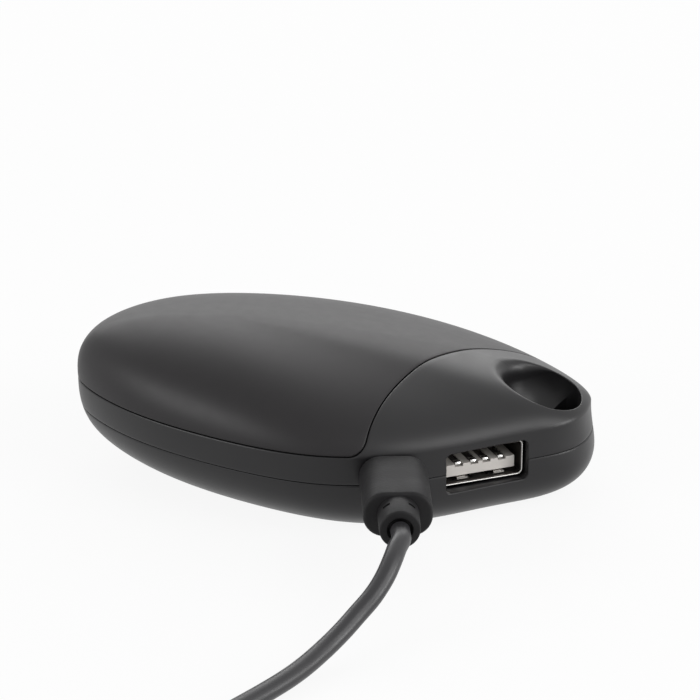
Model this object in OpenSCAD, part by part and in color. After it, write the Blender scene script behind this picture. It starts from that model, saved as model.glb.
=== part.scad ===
// Rechargeable pocket hand warmer: a pebble-shaped body in two housings with an inset
// top cover, a charging lead in its port, and the cell, board and heater inside.
// Millimetres, +X to the nose, -Y to the side with the two ports, +Z up.
// The origin is on the table under the middle of the body.

/* [Body] */
// Length of the body at its widest level
body_len = 80; // [76:1:88]
// Width of the body at its widest level
body_w = 52; // [49:1:57]
// Height of the body's top above the table
body_h = 25; // [24.5:0.5:28]
// Height of the widest level above the table
girth_z = 14.5; // [14.2:0.1:15.2]
// Height of the parting line between the two housings
parting_z = 9.5; // [9.2:0.1:9.8]
// How far the highest point lies behind the middle
summit_back = 25; // [20:1:27]
// Depth of the whole bowl below the widest level, cut flat at the table
bowl_depth = 17; // [16.5:0.1:18]
// How far the bowl leans to the nose over its whole depth
bowl_lean = 6.7; // [5.5:0.1:7.5]
// Thickness of the housings' walls
wall = 1.8; // [1.6:0.1:2]
// Depth of the small bevel along the parting line
parting_bevel = 0.2; // [0.1:0.05:0.25]

/* [Top cover] */
// Height of the cover's lower edge above the widest level
cover_lift = 0.3; // [0.2:0.1:0.6]
// Thickness of the cover
cover_t = 1.3; // [1.1:0.1:1.35]
// Width of the gap round the cover
cover_gap = 0.15; // [0.1:0.05:0.25]
// Radius of the cover's two lower corners at its nose end
cover_corner_r = 2.2; // [1.8:0.1:3]
// Thickness of the deck under the cover
deck_t = 1.35; // [1.2:0.05:1.5]

/* [Lanyard hole] */
// Radius of the hole through the nose
lanyard_r = 2.4; // [2.1:0.1:2.5]
// Widest radius of the scooped bowl above the hole
scoop_r = 5.8; // [5.4:0.1:6]
// Half length of the scooped bowl along its slanted axis
scoop_half_len = 7; // [6.6:0.1:7.4]
// Wall round the bowl and the hole
scoop_wall = 1.2; // [1:0.1:1.4]

/* [Output socket] */
// Width of the socket's mouth in the housings
socket_mouth_w = 14.4; // [14.2:0.1:15]
// Height of the socket's mouth in the housings
socket_mouth_h = 6.5; // [6.3:0.1:6.9]
// Outer width of the metal shell
socket_w = 13.1; // [13.1:0.1:13.3]
// Outer height of the metal shell
socket_h = 5.7; // [5.7:0.1:5.8]
// Length of the metal shell
socket_len = 14; // [13:0.5:14.5]
// Sheet thickness of the metal shell
socket_sheet = 0.3; // [0.25:0.05:0.3]
// How far the shell's front lies inside the housing's side
socket_set_in = 2; // [1.8:0.1:2.3]

/* [Charging plug] */
// Width of the plug's grip
grip_w = 10.2; // [9.8:0.1:11]
// Height of the plug's grip
grip_h = 7.1; // [6.8:0.1:7.6]
// Length of the plug's grip
grip_len = 13.2; // [12.6:0.1:16]
// Radius of the collar behind the grip
collar_r = 3.1; // [2.9:0.05:3.3]
// Length of the collar
collar_len = 5; // [4.5:0.1:6]
// Diameter of the lead's cable
cable_d = 2.9; // [2.7:0.1:3]

/* [Inside] */
// Length of the pouch cell
cell_len = 29; // [26:0.5:29.5]
// Width of the pouch cell
cell_w = 23; // [20:0.5:23.5]
// Thickness of the pouch cell
cell_t = 7.8; // [7:0.1:8]
// Thickness of the circuit board
board_t = 1.2; // [1:0.1:1.6]
// Radius of the housing screws' shanks
screw_r = 1; // [0.9:0.05:1.1]

/* [Hidden] */
$fn = 48;
overrun = 1;

// Shape of the skin. The outline's shares are harmonics on its half width.
outline_shares = [0.03, -0.24, -0.02, 0.03];
half_w_share = 1 - outline_shares[1] + outline_shares[3];
dome_power = 1.4;
bowl_power = 3.8;
dome_h = body_h - girth_z;
cover_edge_z = girth_z + cover_lift;

// The cover's nose end follows a circle seen from above.
arc_centre_share = [0.779, -0.623];
arc_r_share = 0.6925;
arc_centre = [body_len * arc_centre_share[0], body_w * arc_centre_share[1]];
arc_r = body_len * arc_r_share;

// Angles at which the skin is drawn: closer together where the cover's edge turns.
angles = concat([for (a = [-84 : 2 : -68]) a], [for (a = [-62 : 6 : 22]) a],
    [for (a = [27 : 3 : 45]) a], [for (a = [51 : 6 : 270]) a]);
dome_steps = [0, 0.14, 0.3, 0.46, 0.62, 0.78, 0.9];

// Insets of the layers under the skin
film_gap = 0.12;
film_t = 0.18;
film_inset = cover_t + film_gap;
deck_inset = film_inset + film_t + film_gap;
deck_under_inset = deck_inset + deck_t;
lip_t = 0.75;
lip_h = 0.8;
lip_gap = 0.1;

// Lanyard hole and scoop
scoop_y_share = -0.023;
lanyard_at = [body_len * 0.4413, body_w * scoop_y_share];
scoop_at = [body_len * 0.4063, body_w * scoop_y_share, girth_z + dome_h * 0.286];
scoop_tilt = 40;

// Ports: place along the body, turn of the outward direction, height of the middle
socket_x = body_len * 0.3138;
socket_turn = 28;
socket_z = parting_z;
socket_corner_r = 0.9;
inlet_x = body_len * 0.1425;
inlet_turn = 8.3;
inlet_w = 7.5;
inlet_h = 2.5;
inlet_len = 5.4;
inlet_sheet = 0.22;
inlet_set_in = 1;
inlet_mouth_gap = 0.5;
board_z = socket_z + socket_h / 2;
inlet_z = board_z - inlet_h / 2;
fit_gap = 0.1;
seat_gap = 0.1;

// Board outline, cut from the skin's outline at the board's level
board_inset = wall + 1.2;
board_back_x = -body_len * 0.035;
board_front_x = body_len * 0.315;

// The heater film's leads: width and thickness, and the first one's place
heater_lead = [1.6, 0.4];
heater_lead_at = [-body_len * 0.02, body_w * 0.1];

// Cell
cell_x = -body_len * 0.06;
cell_edge_r = 2;
cell_z = board_z - seat_gap * 2 - cell_t;
tape_t = 0.4;

// Housing screws and their posts
post_r = 2.5;
screw_head_r = 1.9;
screw_head_h = 1.3;
screw_seat_lift = 4.5;
screw_len = 9;
screw_gap = 0.1;
screw_places = [[-body_len * 0.3625, 0], [-body_len * 0.0875, body_w * 0.356],
    [-body_len * 0.0875, -body_w * 0.356], [body_len * 0.2125, body_w * 0.1827]];

// Board screws
board_screw_places = [[body_len * 0.03, body_w * 0.34], [body_len * 0.03, -body_w * 0.27]];
board_screw_r = 0.8;
board_screw_head_r = 1.5;
board_screw_head_h = 0.9;
board_post_r = 1.9;

// Switch and status lights on the side away from the ports
switch_x = body_len * 0.1;
switch_w = 8.6;
switch_h = 2.4;
switch_depth = 3.6;
switch_set_in = wall + 1.1;
switch_sheet = 0.35;
slider_w = 3.2;
slider_h = 1.6;
slider_travel = 4;
slider_gap = 0.3;
light_x = body_len * 0.25;
light_r = 0.7;
light_pitch = 2.6;
light_count = 4;
led_size = [1.6, 0.8, 0.7];

light_bar = [wall + 0.5, 0.5];

// Tongues and contacts of the charging inlet
tongue_w = 3.6;
tongue_t = 0.55;
tongue_front = 0.6;
tiny_pitch = 0.65;
tiny_contact = [0.35, 0.06];

// Parts of the two plugs
plug_w = 6.85;
plug_h = 1.85;
plug_reach = 6.1;
plug_sheet = 0.25;
grip_r = 3.2;
grip_gap = 0.9;
far_plug_w = 12;
far_plug_h = 4.5;
far_plug_reach = 11.8;
far_plug_sheet = 0.3;
far_grip_w = 15.4;
far_grip_h = 8;
far_grip_len = 20;
far_collar_len = 5;

// Route of the lead from the plug's collar to the coil, and from the coil to its far plug
lead_route = [[14.2, -48, 10.8], [13.7, -50.7, 9.9], [12.8, -53.3, 8.3], [11.4, -55.8, 6.6],
    [9.5, -58.4, 5], [7.5, -61.6, 3.6], [5.3, -65.2, 2.5], [2.8, -69.6, 1.8],
    [-0.1, -74.3, 1.5], [-4.7, -81.4, 1.5], [-9.4, -88.5, 1.7]];
tail_route = [[-21.3, -106.8, 5], [-22.3, -108.3, 4.4]];
coil_centre = [-0.8, -111];
coil_start = 147;
coil_r = 19.5;
coil_pitch = 3.5;
coil_layer = 3.4;
coil_turns = 4;
coil_z = 2;
loop_rings = 24;
tie_w = 4;
tie_t = 0.45;
tie_gap = 0.1;
tie_side_gap = 0.35;
tail_len = 14;

// A point of the outline at the widest level, drawn in by an inset
function plan_x(angle, inset) = (body_len / 2 - inset) * cos(angle);
function plan_y(angle, inset) = (body_w / 2 - inset) / half_w_share * sin(angle)
    * (1 + outline_shares[0] * cos(angle) + outline_shares[1] * cos(2 * angle)
    + outline_shares[2] * cos(3 * angle) + outline_shares[3] * cos(4 * angle));

// A point of the bowl at a height below the widest level
function bowl_scale(z, inset) = sqrt(1 - pow(abs(girth_z - z) / (bowl_depth - inset), bowl_power));
function bowl_shift(z) = bowl_lean * pow((girth_z - z) / bowl_depth, 2);
function bowl_point(angle, z, inset) = [
    plan_x(angle, inset) * bowl_scale(z, inset) + bowl_shift(z),
    plan_y(angle, inset) * bowl_scale(z, inset), z];

// A point of the dome, where climb goes from 0 at the widest level to 1 at the summit
function dome_rise(climb) = pow(sin(90 * climb), 2 / dome_power);
function dome_point(angle, climb, inset) = [
    plan_x(angle, inset) * cos(90 * climb) - summit_back * pow(dome_rise(climb), 2),
    plan_y(angle, inset) * cos(90 * climb),
    girth_z + (dome_h - inset) * dome_rise(climb)];
function dome_top(inset) = [-summit_back, 0, girth_z + dome_h - inset];

// A point of the skin from the parting line, -1, past the widest level, 0, to the summit, 1
function skin_point(angle, climb, inset) = climb < 0
    ? bowl_point(angle, girth_z + climb * (girth_z - parting_z), inset)
    : dome_point(angle, climb, inset);

// How far a point of the dome lies inside the cover's rounded outline
function cover_reach(p) = cover_corner_r - norm([
    max(cover_corner_r - (p[2] - cover_edge_z), 0),
    max(cover_corner_r - (norm([p[0] - arc_centre[0], p[1] - arc_centre[1]]) - arc_r), 0)]);
function edge_climb(angle, reach, low = 0, high = 1, steps = 18) = steps == 0 ? high
    : cover_reach(dome_point(angle, (low + high) / 2, 0)) < reach
    ? edge_climb(angle, reach, (low + high) / 2, high, steps - 1)
    : edge_climb(angle, reach, low, (low + high) / 2, steps - 1);
cover_edge = [for (a = angles) edge_climb(a, cover_gap / 2)];
ledge_edge = [for (a = angles) edge_climb(a, -cover_gap / 2)];

// Rings of points, one for each angle
function bowl_ring(z, inset) = [for (a = angles) bowl_point(a, z, inset)];
function dome_ring(edges, share, inset) = [for (i = [0 : len(angles) - 1])
    dome_point(angles[i], edges[i] + (1 - edges[i]) * share, inset)];
function side_ring(edges, share, inset) = [for (i = [0 : len(angles) - 1])
    skin_point(angles[i], -1 + (edges[i] + 1) * share, inset)];

// The outline's half width at a place along the body, at the parting line
function side_angle(x, inset = 0) = acos((x - bowl_shift(parting_z))
    / ((body_len / 2 - inset) * bowl_scale(parting_z, inset)));
function side_y(x, inset = 0) = plan_y(side_angle(x, inset), inset) * bowl_scale(parting_z, inset);
function side_turn(x) = atan((side_y(x - overrun) - side_y(x + overrun)) / (2 * overrun));

// Height of the dome over a place, found by halving
function dome_covers(x, y, climb, inset) =
    let (u = (x + summit_back * pow(dome_rise(climb), 2)) / cos(90 * climb) / (body_len / 2 - inset))
    abs(u) < 1 && abs(y) / cos(90 * climb) < plan_y(acos(u), inset);
function dome_climb(x, y, inset, low = 0, high = 1, steps = 16) = steps == 0 ? low
    : dome_covers(x, y, (low + high) / 2, inset)
    ? dome_climb(x, y, inset, (low + high) / 2, high, steps - 1)
    : dome_climb(x, y, inset, low, (low + high) / 2, steps - 1);
function dome_z(x, y, inset) = girth_z + (dome_h - inset) * dome_rise(dome_climb(x, y, inset));

// Places of the four contacts across the output socket and the far plug
contact_x_shares = [-0.267, -0.076, 0.076, 0.267];
function contact_x(i) = contact_x_shares[i] * socket_w;

// The coil: it winds in over its lower layer, climbs, and winds out over the upper one
function ease(share) = let (s = min(max(share, 0), 1)) s * s * (3 - 2 * s);
function coil_point(turn) = let (
    r = coil_r - coil_pitch * min(turn, coil_turns - turn),
    a = coil_start + 360 * turn,
    z = coil_z + coil_layer * ease((turn - coil_turns / 2) * 2 + 0.5))
    [coil_centre[0] + r * cos(a), coil_centre[1] + r * sin(a), z];
coil_heading = [-sin(coil_start), cos(coil_start), 0];
coil_path = concat([coil_point(0) - coil_heading * cable_d],
    [for (i = [0 : coil_turns * loop_rings]) coil_point(i / loop_rings)],
    [coil_point(coil_turns) + coil_heading * cable_d]);
coil_least_gap = min([for (i = [0 : len(coil_path) - 1], j = [i + loop_rings / 2 : len(coil_path) - 1])
    norm(coil_path[i] - coil_path[j])]) - cable_d;
echo(coil_least_gap = coil_least_gap);

// The lead leaves the plug's collar straight out, and ends where the coil starts
inlet_out = [sin(inlet_turn), -cos(inlet_turn), 0];
lead_start = [inlet_x, -side_y(inlet_x), inlet_z] + inlet_out * (grip_gap + grip_len + collar_len);
lead_path = concat([lead_start, lead_start + inlet_out * cable_d], lead_route,
    [coil_path[0] - coil_heading * cable_d, coil_path[0]]);
far_start = [coil_point(0)[0], coil_point(0)[1], far_grip_h / 2] + coil_heading * tail_len;
coil_end = coil_path[len(coil_path) - 1];
tail_path = concat([coil_end, coil_end + coil_heading * cable_d], tail_route,
    [far_start - coil_heading * cable_d, far_start]);

// A tube through points, its rings square to the way it runs and its flats down
module tube(path, d, sides) {
    last = len(path) - 1;
    color("#38383b") loft([for (i = [0 : last]) let (
        t = path[min(i + 1, last)] - path[max(i - 1, 0)],
        across = cross([0, 0, 1], t) / norm(cross([0, 0, 1], t)),
        up = cross(t, across) / norm(cross(t, across)))
        [for (k = [0 : sides - 1]) let (a = 270 + (k + 0.5) * 360 / sides)
            path[i] + (across * cos(a) + up * sin(a)) * d / 2]]);
}

// A closed solid through rings, each end a flat polygon or a point
module loft(rings, low = undef, high = undef) {
    n = len(rings[0]);
    top = (len(rings) - 1) * n;
    ends = concat(is_undef(low) ? [] : [low], is_undef(high) ? [] : [high]);
    low_at = top + n;
    high_at = low_at + (is_undef(low) ? 0 : 1);
    polyhedron(points = concat([for (r = rings) each r], ends), faces = concat(
        is_undef(low) ? [[for (i = [0 : n - 1]) i]]
            : [for (i = [0 : n - 1]) [low_at, i, (i + 1) % n]],
        [for (j = [0 : len(rings) - 2], i = [0 : n - 1])
            [j * n + i, (j + 1) * n + i, (j + 1) * n + (i + 1) % n]],
        [for (j = [0 : len(rings) - 2], i = [0 : n - 1])
            [j * n + i, (j + 1) * n + (i + 1) % n, j * n + (i + 1) % n]],
        is_undef(high) ? [[for (i = [n - 1 : -1 : 0]) top + i]]
            : [for (i = [0 : n - 1]) [top + i, high_at, top + (i + 1) % n]]), convexity = 8);
}

// A rounded rectangle's points, centred
function round_rect(w, h, r) = [for (c = [0 : 3], a = [0 : 22.5 : 90])
    [(w / 2 - r) * (c == 0 || c == 3 ? 1 : -1) + r * cos(c * 90 + a),
    (h / 2 - r) * (c < 2 ? 1 : -1) + r * sin(c * 90 + a)]];

// A rounded bar along Y, from one depth to another
module bar(w, h, r, from, to) {
    translate([0, to, 0]) rotate([90, 0, 0])
        linear_extrude(height = to - from) polygon(round_rect(w, h, r));
}

// A round rod along Y, from one depth to another
module rod(r, from, to) {
    translate([0, to, 0]) rotate([90, 0, 0]) cylinder(r = r, h = to - from);
}

// Draws at the side: local -Y points straight out of the body
module at_side(x, turn, z) {
    translate([x, -side_y(x), z]) rotate([0, 0, turn]) children();
}
module at_far_side(x, z) {
    translate([x, side_y(x), z]) rotate([0, 0, 180 - side_turn(x)]) children();
}
module at_socket() { at_side(socket_x, socket_turn, socket_z) children(); }
module at_inlet() { at_side(inlet_x, inlet_turn, inlet_z) children(); }
module at_switch() { at_far_side(switch_x, board_z - switch_h / 2) children(); }
module at_lights() { at_far_side(light_x, board_z - led_size[2] / 2) children(); }

// The scooped bowl, an egg turned about an axis that slants down to the nose
module scoop_egg(extra) {
    r = scoop_r + extra;
    l = scoop_half_len + extra;
    translate(scoop_at) rotate([0, 180 - scoop_tilt, 0])
        rotate_extrude() polygon([for (a = [-90 : 7.5 : 90]) [r * cos(a), l * sin(a)]]);
}

module screw_holes(r, from, to) {
    for (p = screw_places) translate([p[0], p[1], from]) cylinder(r = r, h = to - from);
}

module board_holes(r, from, to) {
    for (p = board_screw_places) translate([p[0], p[1], from]) cylinder(r = r, h = to - from);
}

// Every opening through the housings' sides
module side_openings() {
    at_socket() bar(socket_mouth_w, socket_mouth_h, socket_corner_r, -overrun * 2, wall * 3);
    at_inlet() bar(inlet_w + inlet_mouth_gap * 2, inlet_h + inlet_mouth_gap * 2,
        inlet_mouth_gap * 2, -overrun * 2, wall * 3);
    at_switch() translate([slider_travel / 2, 0, 0]) bar(slider_w + slider_travel + slider_gap * 2,
        slider_h + slider_gap * 2, slider_gap, -overrun * 2, wall * 3);
    at_lights() for (i = [0 : light_count - 1])
        translate([(i - (light_count - 1) / 2) * light_pitch, 0, 0])
            rod(light_r + fit_gap / 2, -overrun * 2, wall * 3);
}

module top_cover() {
    color("#46464a") loft(concat(
        [for (i = [len(dome_steps) - 1 : -1 : 0]) dome_ring(cover_edge, dome_steps[i], cover_t)],
        [for (s = dome_steps) dome_ring(cover_edge, s, 0)]),
        low = dome_top(cover_t), high = dome_top(0));
}

// The upper housing's outer form: side band, nose cap, ledge and the deck under the cover
module upper_form() {
    loft(concat([bowl_ring(parting_z, parting_bevel)],
        [bowl_ring(parting_z + parting_bevel, 0)],
        [for (s = [0.18, 0.34, 0.5, 0.64, 0.76, 0.88, 1]) side_ring(ledge_edge, s, 0)],
        [for (s = dome_steps) dome_ring(ledge_edge, s, deck_inset)]), high = dome_top(deck_inset));
}

module upper_hollow() {
    lip_seat = wall - lip_t - lip_gap;
    loft(concat([bowl_ring(parting_z - overrun, lip_seat)],
        [bowl_ring(parting_z + lip_h + lip_gap, lip_seat)],
        [bowl_ring(parting_z + lip_h + lip_gap, wall)],
        [for (s = [0.45, 0.62, 0.74]) side_ring(ledge_edge, s, wall)],
        [for (s = dome_steps) dome_ring(ledge_edge, s, deck_under_inset)]),
        high = dome_top(deck_under_inset));
}

module upper_housing() {
    color("#232326") difference() {
        upper_form();
        difference() {
            upper_hollow();
            screw_holes(post_r, parting_z - overrun * 2, body_h);
            scoop_egg(scoop_wall);
            translate([lanyard_at[0], lanyard_at[1], parting_z - overrun * 2])
                cylinder(r = lanyard_r + scoop_wall, h = dome_h);
        }
        scoop_egg(0);
        translate([lanyard_at[0], lanyard_at[1], parting_z - overrun])
            cylinder(r = lanyard_r, h = dome_h);
        screw_holes(screw_r + screw_gap, parting_z - overrun, body_h);
        screw_holes(screw_head_r + screw_gap, parting_z + screw_seat_lift, body_h);
        heater_slots();
        side_openings();
    }
}

module lower_form() {
    loft(concat([for (z = [0, 0.06, 0.16, 0.3, 0.5, 0.74]) bowl_ring(parting_z * z, 0)],
        [bowl_ring(parting_z - parting_bevel, 0)],
        [bowl_ring(parting_z, parting_bevel)],
        [bowl_ring(parting_z, wall - lip_t)],
        [bowl_ring(parting_z + lip_h, wall - lip_t)]));
}

module lower_hollow() {
    loft([for (s = [0, 0.12, 0.3, 0.6, 1.25])
        bowl_ring(wall + (parting_z - wall) * s, wall)]);
}

// Low ribs that hold the cell and its tape off the floor, and two fences beside it
module cell_cradle() {
    rib = wall / 2;
    for (s = [-0.3, 0, 0.3])
        translate([cell_x + cell_len * s - rib / 2, -cell_w * 0.42, 0])
            cube([rib, cell_w * 0.84, cell_z - tape_t]);
    for (side = [-1, 1])
        translate([cell_x - cell_len * 0.25, side * (cell_w / 2 + seat_gap + rib / 2) - rib / 2, 0])
            cube([cell_len * 0.5, rib, cell_z + cell_t * 0.55]);
}

// The cavity of the lower housing, less what stands in it
module lower_cavity() {
    difference() {
        lower_hollow();
        screw_holes(post_r, 0, parting_z);
        board_holes(board_post_r, 0, board_z);
        cell_cradle();
        translate([lanyard_at[0], lanyard_at[1], 0])
            cylinder(r = lanyard_r + scoop_wall, h = parting_z);
    }
}

module lower_housing() {
    color("#2a2a2d") difference() {
        lower_form();
        lower_cavity();
        screw_holes(screw_r, parting_z + screw_seat_lift - screw_len, parting_z + overrun);
        board_holes(board_screw_r, board_z - wall * 2, board_z + overrun);
        translate([lanyard_at[0], lanyard_at[1], -overrun])
            cylinder(r = lanyard_r, h = parting_z + overrun * 2);
        side_openings();
    }
}

module heater_film() {
    color("#b5622a") loft(concat(
        [for (i = [len(dome_steps) - 1 : -1 : 1])
            dome_ring(cover_edge, dome_steps[i], film_inset + film_t)],
        [for (i = [1 : len(dome_steps) - 1]) dome_ring(cover_edge, dome_steps[i], film_inset)]),
        low = dome_top(film_inset + film_t), high = dome_top(film_inset));
}

// Places of the heater film's two flat leads, which pass through the deck to the board
module heater_lead_places() {
    for (side = [0, 1]) translate([heater_lead_at[0], heater_lead_at[1] + side * heater_lead[0] * 2, 0])
        children();
}

module heater_slots() {
    heater_lead_places() translate([-heater_lead[1], -heater_lead[0], board_z + board_t + overrun])
        cube([heater_lead[1] * 2, heater_lead[0] * 2, body_h]);
}

module heater_leads() {
    foot = board_z + board_t;
    top = dome_z(heater_lead_at[0], heater_lead_at[1] + heater_lead[0] * 2, film_inset + film_t);
    color("#c8452f") heater_lead_places()
        translate([-heater_lead[1] / 2, -heater_lead[0] / 2, foot])
            cube([heater_lead[1], heater_lead[0], top - foot - seat_gap]);
}

// A bead on two legs, pressed against the deck's underside
module thermistor() {
    bead_r = 1.2;
    leg_r = 0.25;
    at = [body_len * 0.06, body_w * 0.06];
    top = dome_z(at[0] + bead_r, at[1] + bead_r, deck_under_inset) - seat_gap * 2;
    color("#33231a") {
        translate([at[0], at[1], top - bead_r]) sphere(r = bead_r);
        for (side = [-1, 1])
            translate([at[0], at[1] + side * bead_r / 2, board_z + board_t])
                cylinder(r = leg_r, h = top - bead_r - board_z - board_t);
    }
}

module pouch_cell() {
    color("#b9bdc2") translate([cell_x - cell_len / 2, 0, cell_z + cell_t / 2]) rotate([0, 0, 90])
        bar(cell_w, cell_t, cell_edge_r, -cell_len, 0);
}

// Foam tape between the ribs and the cell
module cell_tape() {
    color("#e4e2da") translate([cell_x - cell_len * 0.36, -cell_w * 0.36, cell_z - tape_t])
        cube([cell_len * 0.72, cell_w * 0.72, tape_t]);
}

// The cell's own protection board, on edge at its tail end
module cell_board() {
    chip = [0.9, 3.2, 2.2];
    depth = 0.8;
    color("#1f5a36") translate([cell_x - cell_len / 2 - seat_gap - depth, 0, cell_z + cell_t / 2]) {
        translate([0, -cell_w * 0.32, -cell_t * 0.25]) cube([depth, cell_w * 0.64, cell_t * 0.5]);
        for (side = [-1, 1])
            translate([-chip[0], side * chip[1] - chip[1] / 2, -chip[2] / 2]) cube(chip);
    }
}

// Two wires from the cell's board, over the cell to the control board
module cell_leads() {
    wire_r = 0.6;
    top = cell_z + cell_t + seat_gap + wire_r;
    back = cell_x - cell_len / 2 - seat_gap - wire_r * 2;
    for (side = [0, 1]) {
        y = cell_w * 0.2 + side * wire_r * 3;
        color(side == 0 ? "#b3261e" : "#1c1c1e") {
            translate([back, y, top]) rotate([0, 90, 0])
                cylinder(r = wire_r, h = board_back_x - back - seat_gap);
            translate([back, y, cell_z + cell_t * 0.8]) cylinder(r = wire_r, h = top - cell_z - cell_t * 0.8);
            translate([back, y, top]) sphere(r = wire_r);
        }
    }
}

// The board follows the housing's side and carries the sockets on its underside
module control_board() {
    ring = [for (a = angles) let (p = bowl_point(a, parting_z, board_inset)) [p[0], p[1]]];
    size = [board_front_x - board_back_x, body_w, board_t + overrun * 2];
    color("#175a37") difference() {
        intersection() {
            translate([0, 0, board_z]) linear_extrude(height = board_t) polygon(ring);
            translate([board_back_x, -body_w / 2, board_z - overrun]) cube(size);
        }
        screw_holes(post_r + seat_gap * 3, board_z - overrun, board_z + board_t + overrun);
        board_holes(board_screw_r + screw_gap, board_z - overrun, board_z + board_t + overrun);
    }
}

// A square package with legs along two sides
module control_chip() {
    body = [6, 5, 1.2];
    leg = [0.35, 0.6, 0.4];
    legs = 6;
    color("#1a1a1c") translate([body_len * 0.14, -body_w * 0.16, board_z + board_t]) {
        translate([-body[0] / 2, -body[1] / 2, 0]) cube(body);
        for (i = [0 : legs - 1], side = [-1, 1])
            translate([(i - (legs - 1) / 2) * body[0] / legs - leg[0] / 2,
                side * (body[1] + leg[1]) / 2 - leg[1] / 2, 0]) cube(leg);
    }
}

module inductor() {
    r = 3;
    h = 2.8;
    flange = 0.6;
    color("#3a3a3d") translate([body_len * 0.2, body_w * 0.05, board_z + board_t]) {
        cylinder(r = r, h = flange);
        cylinder(r = r * 0.72, h = h);
        translate([0, 0, h - flange]) cylinder(r = r, h = flange);
    }
}

module capacitors() {
    size = [1.6, 3.2, 1.4];
    place_shares = [[0.11, 0.14], [0.14, 0.14], [0.25, -0.1], [0.28, -0.08], [0, -0.12]];
    color("#b08a5a") for (p = place_shares)
        translate([body_len * p[0] - size[0] / 2, body_w * p[1] - size[1] / 2, board_z + board_t])
            cube(size);
}

module board_screws() {
    color("#b8bac0") {
        board_holes(board_screw_head_r, board_z + board_t, board_z + board_t + board_screw_head_h);
        board_holes(board_screw_r - seat_gap / 2, board_z - wall * 2 + seat_gap, board_z + board_t);
    }
}

module housing_screws() {
    seat = parting_z + screw_seat_lift;
    color("#9a9ca2") difference() {
        union() {
            screw_holes(screw_head_r, seat, seat + screw_head_h);
            screw_holes(screw_r - seat_gap / 2, seat - screw_len + seat_gap, seat);
        }
        for (p = screw_places, a = [0, 90])
            translate([p[0], p[1], seat + screw_head_h]) rotate([0, 0, a])
                cube([screw_head_r, screw_r / 3, screw_head_h], center = true);
    }
}

// Shell of the output socket, with two sprung tongues punched in its lower wall
module socket_shell() {
    back = socket_set_in + socket_len;
    spring = [2.2, 5];
    spring_x = 2.6;
    color("#c3c5c9") at_socket() {
        difference() {
            bar(socket_w, socket_h, socket_sheet * 2, socket_set_in, back);
            bar(socket_w - socket_sheet * 2, socket_h - socket_sheet * 2, socket_sheet,
                socket_set_in - overrun, back - socket_sheet);
            for (side = [-1, 1])
                translate([side * spring_x - spring[0] / 2 - socket_sheet, socket_set_in + spring[0] / 2,
                    -socket_h / 2 - overrun])
                    cube([spring[0] + socket_sheet * 2, spring[1], overrun + socket_sheet * 1.5]);
        }
        for (side = [-1, 1])
            translate([side * spring_x, socket_set_in + spring[0] / 2, -socket_h / 2 + socket_sheet / 2])
                rotate([-5, 0, 0]) translate([-spring[0] / 2, 0, -socket_sheet / 2])
                    cube([spring[0], spring[1] + socket_sheet, socket_sheet]);
    }
}

module socket_tongue() {
    slab = [11.1, 1.84];
    front = socket_set_in + 0.85;
    back = socket_set_in + socket_len - socket_sheet;
    block = 4;
    groove = [1.3, 0.4];
    color("#d8d5cf") at_socket() {
        difference() {
            translate([-slab[0] / 2, front, -slab[1]]) cube([slab[0], back - front, slab[1]]);
            for (i = [0 : 3])
                translate([contact_x(i) - groove[0] / 2, front - overrun, -groove[1]])
                    cube([groove[0], back - front, groove[1] + overrun]);
        }
        bar(socket_w - socket_sheet * 2 - fit_gap, socket_h - socket_sheet * 2 - fit_gap,
            socket_sheet, back - block, back);
    }
}

// Gold strips along the tongue's grooves, standing at their front ends
module socket_contacts() {
    strip = [1, 0.3];
    tip = [1, 1.2, 0.12];
    front = socket_set_in + 1.9;
    color("#d9b65c") at_socket() for (i = [0 : 3]) translate([contact_x(i) - strip[0] / 2, front, 0]) {
        translate([0, 0, -strip[1] - seat_gap]) cube([strip[0], socket_len * 0.55, strip[1]]);
        translate([0, 0, -seat_gap]) cube(tip);
    }
}

// Charging inlet on the board's underside, beside the output socket
module inlet_shell() {
    color("#c3c5c9") at_inlet() difference() {
        bar(inlet_w, inlet_h, inlet_sheet * 3, inlet_set_in, inlet_set_in + inlet_len);
        bar(inlet_w - inlet_sheet * 2, inlet_h - inlet_sheet * 2, inlet_sheet * 2,
            inlet_set_in - overrun, inlet_set_in + inlet_len - inlet_sheet);
    }
}

module inlet_tongue() {
    back = inlet_set_in + inlet_len - inlet_sheet;
    block = 0.6;
    color("#1d1d1f") at_inlet() {
        translate([-tongue_w / 2, inlet_set_in + tongue_front, -tongue_t / 2])
            cube([tongue_w, inlet_len - tongue_front - block, tongue_t]);
        bar(inlet_w - inlet_sheet * 2 - fit_gap, inlet_h - inlet_sheet * 2 - fit_gap,
            inlet_sheet * 2, back - block, back);
    }
}

module inlet_contacts() {
    color("#d9b65c") at_inlet() for (i = [-2 : 2])
        translate([i * tiny_pitch - tiny_contact[0] / 2, inlet_set_in + tongue_front + tiny_contact[0],
            tongue_t / 2]) cube([tiny_contact[0], inlet_len * 0.6, tiny_contact[1]]);
}

// Slide switch under the board: case with a slot, and the slider that stands in the side's slot
module switch_case() {
    stem_slot = slider_w / 2 + slider_travel + slider_gap * 2;
    color("#b9bbc0") at_switch() difference() {
        translate([slider_travel / 2 - switch_w / 2, switch_set_in, -switch_h / 2])
            cube([switch_w, switch_depth, switch_h]);
        translate([slider_travel / 2 - switch_w / 2 + switch_sheet, switch_set_in + switch_sheet,
            -switch_h / 2 + switch_sheet])
            cube([switch_w - switch_sheet * 2, switch_depth - switch_sheet * 2, switch_h - switch_sheet * 2]);
        translate([slider_travel / 2 - stem_slot / 2, switch_set_in - overrun, -slider_h / 4 - slider_gap])
            cube([stem_slot, overrun * 2, slider_h / 2 + slider_gap * 2]);
    }
}

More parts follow.
